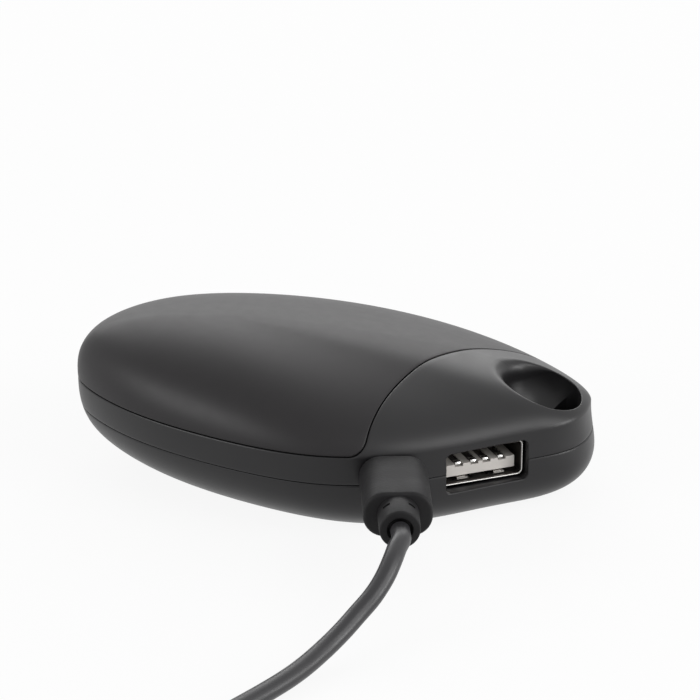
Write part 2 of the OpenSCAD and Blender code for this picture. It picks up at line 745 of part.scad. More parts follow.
module switch_slider() {
    rib = 0.4;
    foot = [slider_w * 0.8, 0.8];
    top = slider_gap * 1.5;
    color("#39393c") at_switch() {
        translate([-slider_w / 2, top, -slider_h / 2]) cube([slider_w, wall, slider_h]);
        for (i = [-1 : 1]) translate([i * slider_w / 3 - rib / 2, top - rib / 2, -slider_h / 2])
            cube([rib, rib, slider_h]);
        translate([-slider_w / 4, top + wall, -slider_h / 4])
            cube([slider_w / 2, switch_set_in + switch_sheet + slider_gap - top - wall + foot[1] / 2,
                slider_h / 2]);
        translate([-foot[0] / 2, switch_set_in + switch_sheet + slider_gap, -slider_h / 4 - slider_gap / 2])
            cube([foot[0], foot[1], slider_h / 2 + slider_gap]);
    }
}

module status_leds() {
    color("#e9e6cf") at_lights() for (i = [0 : light_count - 1])
        translate([(i - (light_count - 1) / 2) * light_pitch - led_size[0] / 2, light_bar[0] + light_bar[1]
            + seat_gap * 2, -led_size[2] / 2]) cube(led_size);
}

// Clear bar behind the side wall, with a pip through each light's hole
module light_guide() {
    span = (light_count - 1) * light_pitch;
    color("#dfe6ea") at_lights() {
        translate([-span / 2 - light_r, light_bar[0], -light_r])
            cube([span + light_r * 2, light_bar[1], light_r + led_size[2] / 2 - seat_gap]);
        for (i = [0 : light_count - 1]) translate([i * light_pitch - span / 2, 0, 0])
            rod(light_r, seat_gap * 2, light_bar[0] + light_bar[1] / 2);
    }
}

// Metal shell of the charging plug, inside the inlet
module plug_shell() {
    color("#b9bbc0") at_inlet() difference() {
        bar(plug_w, plug_h, plug_sheet * 2, -grip_gap, plug_reach - grip_gap);
        bar(plug_w - plug_sheet * 2, plug_h - plug_sheet * 2, plug_sheet,
            0, plug_reach - grip_gap + overrun);
    }
}

module plug_insert() {
    inner = [plug_w - plug_sheet * 2 - fit_gap, plug_h - plug_sheet * 2 - fit_gap];
    color("#1a1a1c") at_inlet() difference() {
        bar(inner[0], inner[1], plug_sheet, 0, plug_reach - grip_gap * 2);
        translate([-tongue_w / 2 - slider_gap / 2, plug_sheet, -tongue_t / 2 - fit_gap])
            cube([tongue_w + slider_gap, plug_reach, tongue_t + fit_gap + tiny_contact[1] * 2 + fit_gap]);
    }
}

module plug_contacts() {
    color("#d9b65c") at_inlet() for (i = [-2 : 2])
        translate([i * tiny_pitch - tiny_contact[0] / 2, plug_sheet * 2,
            tongue_t / 2 + tiny_contact[1] + fit_gap])
            cube([tiny_contact[0], plug_reach - grip_gap * 2 - plug_sheet * 4, tiny_contact[1]]);
}

// Moulded grip with full round sides
module plug_grip() {
    color("#2e2e31") at_inlet() bar(grip_w, grip_h, grip_r, -grip_gap - grip_len, -grip_gap);
}

// Collar behind the grip, slit twice on its upper side so that it flexes
module plug_collar() {
    slit = [1.6, 0.5, 0.7];
    taper = 0.1;
    root = -grip_gap - grip_len;
    color("#2e2e31") at_inlet() difference() {
        translate([0, root, 0]) rotate([90, 0, 0])
            cylinder(r1 = collar_r, r2 = collar_r - taper, h = collar_len);
        for (side = [-1, 1])
            rotate([0, side * 36, 0]) translate([-slit[0] / 2, root - slit[1] * 4, collar_r - slit[2]])
                cube([slit[0], slit[1], slit[2] * 2]);
    }
}

module cable_lead() { tube(lead_path, cable_d, 8); }
module cable_coil() { tube(coil_path, cable_d, 6); }
module cable_tail() { tube(tail_path, cable_d, 8); }

// Strap round the coil's four strands, across from where the lead joins it
module cable_tie() {
    w = coil_pitch + cable_d + tie_side_gap * 2;
    h = coil_layer + cable_d + tie_gap * 2;
    color("#1d1d1f") translate([coil_centre[0], coil_centre[1], coil_z + coil_layer / 2])
        rotate([0, 0, coil_start + 180]) translate([coil_r - coil_pitch, 0, 0]) difference() {
            bar(w + tie_t * 2, h + tie_t * 2, cable_d / 2, -tie_w / 2, tie_w / 2);
            bar(w, h, cable_d / 2 - tie_t, -tie_w, tie_w);
        }
}

// Draws at the far plug: local -Y points along it to its tip
module at_far_plug() {
    translate(far_start) rotate([0, 0, coil_start - 180]) children();
}

module far_plug_grip() {
    color("#2e2e31") at_far_plug() {
        bar(far_grip_w, far_grip_h, far_grip_h * 0.3, -far_collar_len - far_grip_len, -far_collar_len);
        rod(collar_r, -far_collar_len, 0);
    }
}

module far_plug_shell() {
    front = -far_collar_len - far_grip_len - far_plug_reach;
    window = 2;
    color("#b9bbc0") at_far_plug() difference() {
        bar(far_plug_w, far_plug_h, far_plug_sheet * 2, front, -far_collar_len - far_grip_len);
        bar(far_plug_w - far_plug_sheet * 2, far_plug_h - far_plug_sheet * 2, far_plug_sheet,
            front - overrun, -far_collar_len - far_grip_len - far_plug_sheet);
        for (side = [-1, 1])
            translate([side * far_plug_w / 4 - window / 2, front + far_plug_reach / 2, -far_plug_h])
                cube([window, window, far_plug_h * 2]);
    }
}

module far_plug_insert() {
    front = -far_collar_len - far_grip_len - far_plug_reach;
    block = [far_plug_w - far_plug_sheet * 2 - fit_gap, far_plug_reach - far_plug_sheet * 3, far_plug_h * 0.42];
    color("#e8e6e1") at_far_plug()
        translate([-block[0] / 2, front + far_plug_sheet, -far_plug_h / 2 + far_plug_sheet + fit_gap / 2])
            cube(block);
}

module far_plug_contacts() {
    strip = [1.1, far_plug_reach * 0.65, 0.15];
    front = -far_collar_len - far_grip_len - far_plug_reach;
    color("#d9b65c") at_far_plug() for (i = [0 : 3])
        translate([contact_x(i) - strip[0] / 2, front + far_plug_sheet * 3,
            -far_plug_h / 2 + far_plug_sheet + fit_gap / 2 + far_plug_h * 0.42]) cube(strip);
}

top_cover();
upper_housing();
lower_housing();
heater_film();
heater_leads();
thermistor();
pouch_cell();
cell_tape();
cell_board();
cell_leads();
control_board();
control_chip();
inductor();
capacitors();
board_screws();
housing_screws();
socket_shell();
socket_tongue();
socket_contacts();
inlet_shell();
inlet_tongue();
inlet_contacts();
switch_case();
switch_slider();
status_leds();
light_guide();
plug_shell();
plug_insert();
plug_contacts();
plug_grip();
plug_collar();
cable_lead();
cable_coil();
cable_tie();
cable_tail();
far_plug_grip();
far_plug_shell();
far_plug_insert();
far_plug_contacts();
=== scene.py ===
from math import cos, pi, radians, sin

import bmesh
import bpy
import numpy as np
from mathutils import Matrix, Vector
from mathutils.geometry import tessellate_polygon


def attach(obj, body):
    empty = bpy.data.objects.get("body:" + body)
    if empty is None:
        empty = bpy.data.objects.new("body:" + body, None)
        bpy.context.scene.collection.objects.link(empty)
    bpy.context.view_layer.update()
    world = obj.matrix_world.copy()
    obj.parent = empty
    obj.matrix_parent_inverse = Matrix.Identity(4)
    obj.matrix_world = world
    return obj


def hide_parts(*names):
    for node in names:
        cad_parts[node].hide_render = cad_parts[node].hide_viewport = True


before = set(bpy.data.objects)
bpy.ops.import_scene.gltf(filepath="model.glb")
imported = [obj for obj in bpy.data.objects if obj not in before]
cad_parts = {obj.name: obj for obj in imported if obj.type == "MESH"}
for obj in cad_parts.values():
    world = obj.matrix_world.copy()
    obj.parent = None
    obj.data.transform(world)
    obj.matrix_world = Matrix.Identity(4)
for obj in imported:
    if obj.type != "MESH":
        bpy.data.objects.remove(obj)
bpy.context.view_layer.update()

MM = 0.001
ROUND_SIDES, CABLE_SIDES = 64, 16

# Body, as in the part's source
BODY_LEN, BODY_W, BODY_H = 80, 52, 25
PARTING_Z = 9.5
PARTING_BEVEL = 0.2
WALL = 1.8
COVER_T, COVER_GAP, COVER_LIFT, CORNER_R = 1.3, 0.15, 0.3, 2.2
DECK_INSET, DECK_UNDER = 1.72, 3.07
LIP_T, LIP_H, LIP_GAP = 0.75, 0.8, 0.1

# The skin, fitted to the photograph's outline, inside the box of the part's solids
SKIN_LEN, SKIN_W, GIRTH_Z = 79.18, 51.85, 13.76
BOWL_DEPTH, BOWL_LEAN, BOWL_POWER = 16.16, 6.97, 4.24
SUMMIT_BACK, DOME_POWER, DOME_LEAN_POWER = 17.67, 1.7, 1.588
DOME_H = BODY_H - GIRTH_Z
# Harmonics on the outline's half width, on the far side and on the side with the ports
FAR_SHARES = (-0.2, -0.13, -0.04, -0.03)
NEAR_SHARES = (0.16, -0.12, 0.09, 0.06, 0.05)
EDGE_Z = GIRTH_Z + COVER_LIFT
ARC_CENTRE, ARC_R = np.array([54.2, -32.6]), 47.55
# How far the visible edges of the cover, the upper housing and the foot are rounded
COVER_ROUND, UPPER_ROUND, FOOT_ROUND = 0.22, 0.2, 0.35
# Where the parting bevel's rounded shoulder lies, as shares of its height and depth
SHOULDER_SHARES = (0.35, 0.3)
# How far up from its edge the cover's last ring lies, as a share of the way to the summit
NEAR_SUMMIT_SHARE = 0.985

# Lanyard hole, scoop and ports
BORE_AT, BORE_R = np.array([BODY_LEN * 0.4413, BODY_W * -0.023]), 2.4
SCOOP_AT = np.array([32.2, -3, 16.3])
SCOOP_R, SCOOP_HALF, SCOOP_TILT, SCOOP_WALL = 6, 6.3, radians(30), 1.2
# The columns and rows of the upper shell's grid that the scoop takes, the columns as angles,
# and the scoop's middle as angle and climb
SCOOP_LEFT, SCOOP_RIGHT, SCOOP_ROWS = radians(-28.1), radians(17.5), (26, 59)
SCOOP_CENTRE = (radians(-5), 0.24)
# The rim's rounding outside and inside, and what its soft rear end adds to each
RIM_OUT, RIM_IN, REAR_OUT, REAR_IN = 0.28, 0.28, 2.3, 3.2
# Where the soft rear end begins and over what turn it grows, in radians about the hole
REAR_FROM, REAR_OVER = 1.9, 1.1
MOUTH_W, MOUTH_H, MOUTH_R = 13.7, 6.3, 0.9
INLET_MOUTH = (8.5, 3.5, 1)
SLOT_MOUTH, SLOT_SHIFT, SLOT_FILLET = (7.8, 2.2, 0.3), 2, 0.15
LIGHT_MOUTH, LIGHT_COUNT, LIGHT_PITCH, LIGHT_FILLET = (1.5, 1.5, 0.749), 4, 2.6, 0.12
SOCKET_W, SOCKET_H, SOCKET_SHEET = 13.1, 5.7, 0.3
SOCKET_AT, SOCKET_TURN = (25.104, -17.143, 9.5), radians(28)
INLET_AT, INLET_TURN = (11.4, -24.333, 11.1), radians(8.3)
SWITCH_AT, SWITCH_TURN = (8, 25.252, 11.15), radians(167.97)
LIGHTS_AT, LIGHTS_TURN = (20, 20.396, 12), radians(150.02)
# The socket's trim: its front edge as pairs of growth and depth, and each strip's middle line as
# pairs of depth and height. The tips' places are shares of the socket's width
RIM_PROFILE = ((-0.2, 2.06), (-0.2, 1.95), (-0.15, 1.9), (-0.05, 1.9), (0, 1.95), (0, 2.06))
SPRING_LINE = ((7.6, 0.12), (4.4, 0.25), (3.2, 0.42), (2.5, 0.38))
SPRING_PLACES, SPRING_W, SPRING_T = (-3.1, 2.9), 1.75, 0.3
TIP_LINE = ((4.7, -0.12), (4.1, 0.06), (3.7, 0.18), (3.45, 0.12), (3.34, -0.06), (3.3, -0.2))
TIP_SHARES, TIP_W, TIP_T = (-0.267, -0.076, 0.076, 0.267), 0.95, 0.16
# The heater film: its reach inside the cover's edge, and its two faces' depths under the cover
HEATER_REACH, HEATER_TOP, HEATER_UNDER = 1.2, 0.06, 0.28

# Charging lead
GRIP_W, GRIP_H, GRIP_LEN, GRIP_R, GRIP_GAP, GRIP_EDGE = 10.2, 7.1, 13.2, 3.2, 0.9, 0.55
COLLAR_R, COLLAR_LEN, COLLAR_TAPER = 3.1, 5, 0.1
# The collar's end, in pairs: depth in from its tip with loss of radius outside, and with
# clearance round the cable inside
COLLAR_END = ((0.3, 0), (0.14, 0.05), (0.04, 0.14), (0, 0.28))
COLLAR_HOLLOW = ((0, 0.5), (0.3, 0.3), (1.1, 0.12))
SLIT_HALF, SLIT_FROM, SLIT_TO, SLIT_DEPTH, SLIT_TILT = 0.62, 2.1, 1.5, 0.7, radians(38)
CABLE_D = 2.9
FAR_GRIP, FAR_GRIP_R_SHARE, FAR_GRIP_EDGE = (15.4, 8, 20), 0.3, 0.6
FAR_COLLAR, FAR_COLLAR_SINK, TAIL_LEN = 5, 0.5, 14
FAR_COLLAR_END = ((-0.3, 0), (-0.06, 0.12), (0, 0.3))
COIL_CENTRE, COIL_START, COIL_R = np.array([-0.8, -111]), radians(147), 19.5
COIL_PITCH, COIL_LAYER, COIL_TURNS, COIL_Z, LOOP_RINGS = 3.5, 3.4, 4, 2, 24
LEAD_ROUTE = [(14.2, -48, 10.8), (13.7, -50.7, 9.9), (12.8, -53.3, 8.3), (11.4, -55.8, 6.6),
              (9.5, -58.4, 5), (7.5, -61.6, 3.6), (5.3, -65.2, 2.5), (2.8, -69.6, 1.8),
              (-0.1, -74.3, 1.5), (-4.7, -81.4, 1.5), (-9.4, -88.5, 1.7)]
TAIL_ROUTE = [(-21.3, -106.8, 5), (-22.3, -108.3, 4.4)]

# Studio, in metres and watts but for the floor, which is in millimetres like the meshes
FLOOR_HALF, FLOOR_Z, FLOOR_WHITE_SHARE = 1500, -0.06, 0.9
WORLD_STRENGTH = 0.42
LIGHTS_AIM = Vector((0, 0, 0.01))
SOFTBOXES = {
    "back": ((-0.15, 0.85, 0.5), (1.2, 0.5), 4.5),
    "left": ((-0.65, -0.4, 0.26), (0.45, 0.35), 2.8),
    "right": ((0.6, -0.25, 0.5), (0.5, 0.4), 2.1),
    "nose": ((0.8, -0.1, 0.14), (0.4, 0.25), 2.4),
}


# Camera

def add_camera():
    """The photograph's camera: its place, turn and lens were fitted to the outline."""
    lift, turn, roll = radians(23.802), radians(5.773), radians(-0.43)
    image, sensor = 700, 36
    distance, scale = 0.6, 6522
    principal = (332.634, 386.365)
    target = Vector((0, -1.1, 14.5)) * MM
    ahead = Vector((-sin(turn) * cos(lift), cos(turn) * cos(lift), -sin(lift)))
    level = Vector((cos(turn), sin(turn), 0))
    upright = Vector((-sin(turn) * sin(lift), cos(turn) * sin(lift), cos(lift)))
    right = level * cos(roll) - upright * sin(roll)
    up = level * sin(roll) + upright * cos(roll)
    data = bpy.data.cameras.new("camera")
    data.sensor_width = sensor
    data.lens = scale * distance / image * sensor
    data.shift_x = (image / 2 - principal[0]) / image
    data.shift_y = (principal[1] - image / 2) / image
    data.clip_start, data.clip_end = 0.01, 20
    camera = bpy.data.objects.new("camera", data)
    bpy.context.scene.collection.objects.link(camera)
    camera.matrix_world = Matrix((
        (right.x, up.x, -ahead.x, 0), (right.y, up.y, -ahead.y, 0),
        (right.z, up.z, -ahead.z, 0), (0, 0, 0, 1)))
    camera.location = target - ahead * distance
    bpy.context.scene.camera = camera


# Meshes

def mesh_object(name, points, faces, material=None, smooth=40):
    """An object from points in millimetres, with its edges sharp above an angle in degrees."""
    mesh = bpy.data.meshes.new(name)
    mesh.from_pydata([tuple(p) for p in np.asarray(points, float) * MM], [], faces)
    mesh.validate()
    mesh.update()
    obj = bpy.data.objects.new(name, mesh)
    bpy.context.scene.collection.objects.link(obj)
    face_outward(mesh)
    shade(obj, smooth)
    if material is not None:
        mesh.materials.append(material)
    return obj


def face_outward(mesh):
    """Turns a mesh's faces so that they look out of it."""
    bm = bmesh.new()
    bm.from_mesh(mesh)
    bmesh.ops.recalc_face_normals(bm, faces=bm.faces)
    bm.to_mesh(mesh)
    bm.free()


def shade(obj, angle):
    """Smooth shading, but for the edges sharper than an angle in degrees."""
    obj.data.shade_smooth()
    obj.data.set_sharp_from_angle(angle=radians(angle))


def loft_faces(rings, count, low=True, high=True):
    """Quads between rings of count points, with a face over each end that is asked for."""
    faces = [(j * count + i, j * count + (i + 1) % count, (j + 1) * count + (i + 1) % count,
              (j + 1) * count + i) for j in range(rings - 1) for i in range(count)]
    if low:
        faces.append(tuple(range(count - 1, -1, -1)))
    if high:
        faces.append(tuple((rings - 1) * count + i for i in range(count)))
    return faces


def loft(name, rings, material=None, smooth=40):
    """A closed object through rings of points, with a face over each end."""
    rings = [np.asarray(r, float) for r in rings]
    return mesh_object(name, np.concatenate(rings), loft_faces(len(rings), len(rings[0])),
                       material, smooth)


def endless_faces(rings, count):
    """Quads between rings of count points, from the last ring back to the first too."""
    return [(j * count + i, j * count + (i + 1) % count, (j + 1) % rings * count + (i + 1) % count,
             (j + 1) % rings * count + i) for j in range(rings) for i in range(count)]


def subtract(target, cutter):
    """Cuts a closed mesh out of another."""
    modifier = target.modifiers.new("cut", "BOOLEAN")
    modifier.operation = "DIFFERENCE"
    modifier.solver = "MANIFOLD"
    modifier.object = cutter
    bpy.context.view_layer.update()
    result = bpy.data.meshes.new_from_object(
        target.evaluated_get(bpy.context.evaluated_depsgraph_get()))
    target.modifiers.clear()
    target.data = result
    bpy.data.objects.remove(cutter)


def join(objects):
    """One object from several, the first one's name kept."""
    bm = bmesh.new()
    for obj in objects:
        bm.from_mesh(obj.data)
    bm.to_mesh(objects[0].data)
    bm.free()
    for obj in objects[1:]:
        bpy.data.objects.remove(obj)
    return objects[0]


# The body's skin

def bulge(angle, shares):
    """The outline's fullness at an angle, against its fullness at the widest place."""
    def full(a):
        return 1 + sum(share * np.cos((i + 1) * a) for i, share in enumerate(shares))
    return full(angle) / full(pi / 2)


def plan(angle, inset):
    """The body's outline at its widest level."""
    side = np.where(np.sin(angle) < 0, bulge(angle, NEAR_SHARES), bulge(angle, FAR_SHARES))
    return (SKIN_LEN / 2 - inset) * np.cos(angle), (SKIN_W / 2 - inset) * np.sin(angle) * side


def bowl_scale(z, inset=0):
    """The skin's size at a height below the girth, as a share of the outline's."""
    return np.sqrt(1 - (np.abs(GIRTH_Z - z) / (BOWL_DEPTH - inset)) ** BOWL_POWER)


def bowl_shift(z):
    """How far the skin leans to the nose at a height below the girth."""
    return BOWL_LEAN * ((GIRTH_Z - z) / BOWL_DEPTH) ** 2


def bowl_point(angle, z, inset=0):
    """A point of the skin below the girth, or inset from it, by its height."""
    x, y = plan(angle, inset)
    z = z + 0 * x
    return np.stack([x * bowl_scale(z, inset) + bowl_shift(z), y * bowl_scale(z, inset), z], -1)


def dome_point(angle, climb, inset=0):
    """A point of the skin above the girth, or inset from it: climb goes from 0 there to 1."""
    rise = np.sin(pi / 2 * climb) ** (2 / DOME_POWER)
    x, y = plan(angle, inset)
    return np.stack([x * np.cos(pi / 2 * climb) - SUMMIT_BACK * rise ** DOME_LEAN_POWER,
                     y * np.cos(pi / 2 * climb), GIRTH_Z + (DOME_H - inset) * rise], -1)


def dome_top(inset):
    """The summit of the skin, or of a layer inset from it."""
    return np.array([-SUMMIT_BACK, 0, GIRTH_Z + DOME_H - inset])


def skin_point(angle, climb, inset=0):
    """A point of the skin: climb goes from -1 at the parting line past 0 at the girth to 1."""
    angle, climb = np.broadcast_arrays(np.asarray(angle, float), np.asarray(climb, float))
    low = bowl_point(angle, GIRTH_Z + np.minimum(climb, 0) * (GIRTH_Z - PARTING_Z), inset)
    high = dome_point(angle, np.maximum(climb, 0), inset)
    return np.where((climb < 0)[..., None], low, high)


def halve(inside, low, high, steps=40):
    """Where a condition that holds at low and fails at high changes, for whole arrays."""
    low, high = np.array(low, float), np.array(high, float)
    for _ in range(steps):
        middle = (low + high) / 2
        holds = inside(middle)
        low = np.where(holds, middle, low)
        high = np.where(holds, high, middle)
    return (low + high) / 2


def cover_reach(p):
    """How far a point of the dome lies inside the cover's rounded outline."""
    out = np.linalg.norm(p[..., :2] - ARC_CENTRE, axis=-1) - ARC_R
    return CORNER_R - np.hypot(np.maximum(CORNER_R - (p[..., 2] - EDGE_Z), 0),
                               np.maximum(CORNER_R - out, 0))


def edge_climb(angle, reach):
    """The climb at which the dome lies a given reach inside the cover's outline."""
    return halve(lambda c: cover_reach(dome_point(angle, c)) < reach,
                 np.zeros_like(angle), np.ones_like(angle))


def inside_bowl(p):
    """Whether points lie inside the skin below its girth."""
    scale = bowl_scale(p[..., 2])
    along = (p[..., 0] - bowl_shift(p[..., 2])) / scale / (SKIN_LEN / 2)
    angle = np.arccos(np.clip(along, -1, 1)) * np.where(p[..., 1] < 0, -1, 1)
    return (np.abs(along) < 1) & (np.abs(p[..., 1]) < np.abs(plan(angle, 0)[1]) * scale)


def port_frame(at, turn):
    """The place and axes of a port: its -Y points out of the side."""
    across = np.array([cos(turn), sin(turn), 0])
    inward = np.array([-sin(turn), cos(turn), 0])
    return np.array(at), across, inward


def in_port(port, points):
    """Points given as across, inward and up from a port, in the body's frame."""
    points = np.asarray(points, float)
    at, across, inward = port
    return (at + points[..., 0:1] * across + points[..., 1:2] * inward
            + points[..., 2:3] * np.array([0, 0, 1]))


SOCKET = port_frame(SOCKET_AT, SOCKET_TURN)
INLET = port_frame(INLET_AT, INLET_TURN)
SWITCH = port_frame(SWITCH_AT, SWITCH_TURN)
LIGHTS = port_frame(LIGHTS_AT, LIGHTS_TURN)


def port_ring(port, flat, depth):
    """Points across and up, set at a depth in from a port's plane."""
    return in_port(port, np.stack([flat[:, 0], depth + 0 * flat[:, 0], flat[:, 1]], -1))


def round_rect(w, h, r, arc=8):
    """The points of a rounded rectangle, and the outward direction at each."""
    points, normals = [], []
    for corner, (sx, sy) in enumerate([(1, 1), (-1, 1), (-1, -1), (1, -1)]):
        for a in np.linspace(0, pi / 2, arc + 1) + corner * pi / 2:
            points.append((sx * (w / 2 - r) + r * cos(a), sy * (h / 2 - r) + r * sin(a)))
            normals.append((cos(a), sin(a)))
    return np.array(points), np.array(normals)


def split_long(points, normals, step):
    """More points along the straight runs of an outline."""
    out_p, out_n = [], []
    for i in range(len(points)):
        j = (i + 1) % len(points)
        count = max(1, round(float(np.linalg.norm(points[j] - points[i])) / step))
        for k in range(count):
            out_p.append(points[i] + (points[j] - points[i]) * k / count)
            out_n.append(normals[i] + (normals[j] - normals[i]) * k / count)
    out_n = np.array(out_n)
    return np.array(out_p), out_n / np.linalg.norm(out_n, axis=1)[:, None]


def skin_depth(port, flat):
    """How far in from a port's plane the skin lies, at points across and up."""
    outmost, inmost = -4.0, 6.0
    return halve(lambda depth: ~inside_bowl(port_ring(port, flat, depth)),
                 np.full(len(flat), outmost), np.full(len(flat), inmost))


def opening(port, w, h, r, across=0, fillet=0.22):
    """A cutter for a mouth in the side, which rounds the mouth's edge by a fillet."""
    depth, step = 5.4, 0.6
    # In fillets: how much wider its outer end is, and how far off the skin its rounding begins
    flare, lead = 1.9, 1.6
    points, normals = split_long(*round_rect(w, h, r), step)
    points = points + np.array([across, 0])
    rings = [port_ring(port, points + normals * fillet * flare, -depth)]
    for a in np.radians([-60, 14, 30, 50, 70, 90]):
        grown = points + normals * fillet * (1 - sin(a))
        into = fillet * (1 - cos(a)) if a > 0 else -fillet * lead
        rings.append(port_ring(port, grown, skin_depth(port, grown) + into))
    rings.append(port_ring(port, points, depth))
    return loft("cutter", rings)


# Scoop

EGG_AXIS = np.array([sin(SCOOP_TILT), 0, -cos(SCOOP_TILT)])
EGG_SIDE = np.array([cos(SCOOP_TILT), 0, sin(SCOOP_TILT)])
EGG = np.stack([EGG_SIDE * SCOOP_R, np.array([0, 1, 0]) * SCOOP_R, EGG_AXIS * SCOOP_HALF])
EGG_INVERSE = np.linalg.inv(EGG)


def egg_local(p):
    """Points in the frame in which the scoop is the unit sphere."""
    return (p - SCOOP_AT) @ EGG_INVERSE


def egg_world(q):
    """Points from the frame in which the scoop is the unit sphere."""
    return SCOOP_AT + q @ EGG


def bore_mouth(angle):
    """Where the lanyard hole's wall meets the bottom of the scoop."""
    flat = BORE_AT + BORE_R * np.stack([np.cos(angle), np.sin(angle)], -1)

    def under(z):
        return np.linalg.norm(egg_local(np.concatenate([flat, z[:, None]], 1)), axis=1) > 1
    z = halve(under, np.full(len(angle), PARTING_Z), np.full(len(angle), SCOOP_AT[2]))
    return np.concatenate([flat, z[:, None]], 1)


def slerp(a, b, share):
    """Points on the unit sphere between unit vectors."""
    turn = np.arccos(np.clip((a * b).sum(-1), -1, 1))[..., None]
    return (np.sin((1 - share) * turn) * a + np.sin(share * turn) * b) / np.sin(turn)


def scoop_rings(perimeter, centre):
    """Rings of points from a loop on the skin over the scoop's rim and down to its hole.
    perimeter is the loop and centre a place inside it, both as angle and climb on the skin."""
    spread = perimeter - centre

    def on_skin(share):
        at = centre + spread * share[:, None]
        return skin_point(at[:, 0], at[:, 1])

    count = len(perimeter)
    rim = halve(lambda s: np.linalg.norm(egg_local(on_skin(s)), axis=1) < 1,
                np.zeros(count), np.ones(count))
    rim_at = on_skin(rim)
    away = np.arctan2(rim_at[:, 1] - BORE_AT[1], rim_at[:, 0] - BORE_AT[0])
    # 1 at the scoop's rear end, where it runs out softly into the cap, and 0 elsewhere
    rear = np.clip((np.abs(away) - REAR_FROM) / REAR_OVER, 0, 1)
    rear = rear * rear * (3 - 2 * rear)
    out_len = RIM_OUT + REAR_OUT * rear
    in_len = RIM_IN + REAR_IN * rear
    # The rounding takes at most these shares of the way out on the skin and down the wall
    most_out, most_down = 0.8, 0.6
    # The steps over which the pace along the skin and down the wall is measured
    skin_step, wall_step = 0.02, 0.1
    speed = np.linalg.norm(on_skin(rim + skin_step) - rim_at, axis=1) / skin_step
    skirt = np.minimum(rim + out_len / speed, rim + (1 - rim) * most_out)
    on_out = on_skin(skirt)
    mouth = bore_mouth(away)
    top, foot = egg_local(rim_at), egg_local(mouth)
    foot = foot / np.linalg.norm(foot, axis=1)[:, None]
    wall_len = np.linalg.norm(egg_world(slerp(top, foot, wall_step)) - rim_at, axis=1) / wall_step
    down = np.minimum(in_len / wall_len, most_down)[:, None]
    on_in = egg_world(slerp(top, foot, down))
    skin_rows, rim_rows, wall_rows = 9, 9, 17
    rings = [on_skin(1 + (skirt - 1) * s) for s in np.linspace(0, 1, skin_rows)[:-1]]
    for t in np.linspace(0, 1, rim_rows):
        rings.append(on_out * (1 - t) ** 2 + rim_at * 2 * t * (1 - t) + on_in * t * t)
    for s in np.linspace(0, 1, wall_rows)[1:]:
        rings.append(egg_world(slerp(top, foot, down + (1 - down) * s)))
    rings[-1] = mouth
    rings.append(np.concatenate([mouth[:, :2], np.full((count, 1), PARTING_Z)], 1))
    return rings


# Housings and cover

def skin_angles():
    """Angles round the body: closer together at the cover's corners and round the scoop."""
    angles = np.arange(-180, 180, 1.2)
    near = np.arange(-84, -66, 0.3)
    far = np.arange(19.8, 50, 0.6)
    nose = np.arange(-36, 24, 0.6)
    return np.radians(np.unique(np.round(np.concatenate([angles, near, far, nose]), 3)))


ANGLES = skin_angles()


def cover_rings(edge, round_r):
    """Rings from the cover's edge, rounded by a radius, up to near the summit."""
    rings = []
    for a in np.radians([90, 67, 45, 22]):
        climb = edge_climb(ANGLES, edge + round_r * (1 - sin(a)))
        rings.append(dome_point(ANGLES, climb, round_r * (1 - cos(a))))
    start = edge_climb(ANGLES, edge + round_r)
    rows, crowding = 36, 1.15
    for share in np.concatenate([np.linspace(0, 1, rows)[:-1] ** crowding, [NEAR_SUMMIT_SHARE]]):
        rings.append(dome_point(ANGLES, start + (1 - start) * share))
    return rings


def build_cover(material):
    """The inset top cover, a thin shell with a rounded edge."""
    count = len(ANGLES)
    edge = edge_climb(ANGLES, COVER_GAP / 2)
    outer = cover_rings(COVER_GAP / 2, COVER_ROUND)
    inner = [dome_point(ANGLES, edge + (1 - edge) * s, COVER_T)
             for s in np.linspace(NEAR_SUMMIT_SHARE, 0, 14)]
    rings = inner + outer
    points = np.concatenate(rings + [[dome_top(COVER_T)], [dome_top(0)]])
    faces = loft_faces(len(rings), count, False, False)
    low, high = len(rings) * count, len(rings) * count + 1
    faces += [(low, (i + 1) % count, i) for i in range(count)]
    faces += [(high - 1 - count + i, high - 1 - count + (i + 1) % count, high) for i in range(count)]
    return mesh_object("cover_shell", points, faces, material)


